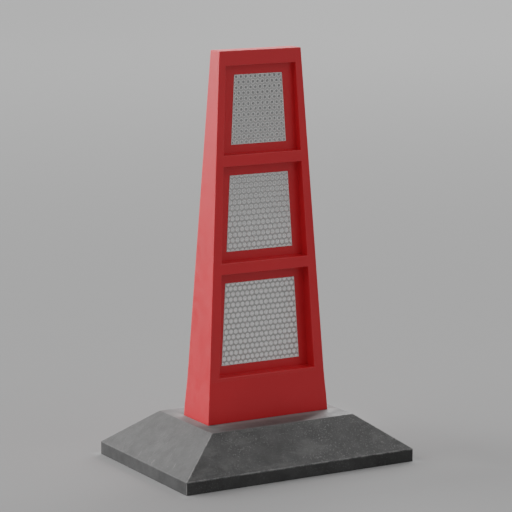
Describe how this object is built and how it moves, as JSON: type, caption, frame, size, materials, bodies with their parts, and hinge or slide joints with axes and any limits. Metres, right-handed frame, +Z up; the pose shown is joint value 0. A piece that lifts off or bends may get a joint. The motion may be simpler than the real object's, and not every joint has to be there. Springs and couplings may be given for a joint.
{
  "type": "flexible delineator post",
  "caption": "Tapered red panel post with recessed honeycomb reflectors on a rubber base; it tips over on hidden springs and rights itself.",
  "frame": {"origin": "middle of the underside of the rubber base", "axes": "+Z up along the post, +X across the panel, the front face looks towards -Y"},
  "size_m": [0.5, 0.355, 0.8],
  "materials": {
    "black_rubber": "moulded recycled rubber, scuffed",
    "red_boot": "satin moulded polyurethane",
    "red_plastic": "satin moulded",
    "reflective_sheet": "honeycomb retroreflective face",
    "aluminium_plate": "mill finish",
    "zinc_steel": "zinc plated",
    "spring_steel": "black coated spring steel"
  },
  "bodies": {
    "base": {"rubber_base": "black_rubber", "flex_boot": "red_boot", "spring_base_plate": "zinc_steel", "lower_spring_plugs": "zinc_steel", "lower_plug_screws": "zinc_steel", "base_bolts": "zinc_steel", "base_bolt_washers": "zinc_steel", "base_bolt_nuts": "zinc_steel", "spring_left": "spring_steel", "spring_right": "spring_steel"},
    "post": {"spring_top_plate": "zinc_steel", "upper_spring_plugs": "zinc_steel", "upper_plug_screws": "zinc_steel", "post_spine": "zinc_steel", "spine_bolts": "zinc_steel", "spine_nuts": "zinc_steel", "front_shell": "red_plastic", "rear_shell": "red_plastic", "shell_screws": "zinc_steel", "front_upper_reflector": "reflective_sheet", "front_upper_backing_plate": "aluminium_plate", "front_middle_reflector": "reflective_sheet", "front_middle_backing_plate": "aluminium_plate", "front_lower_reflector": "reflective_sheet", "front_lower_backing_plate": "aluminium_plate", "rear_upper_reflector": "reflective_sheet", "rear_upper_backing_plate": "aluminium_plate", "rear_middle_reflector": "reflective_sheet", "rear_middle_backing_plate": "aluminium_plate", "rear_lower_reflector": "reflective_sheet", "rear_lower_backing_plate": "aluminium_plate"}
  },
  "joints": [
    {"name": "post_tilt", "type": "hinge", "parent": "base", "child": "post", "pos_m": [0, 0, 0.1335], "axis": [1, 0, 0], "range_deg": [-75, 75], "stiffness_Nm_per_rad": 80, "deforming": ["flex_boot", "spring_left", "spring_right"]}
  ]
}
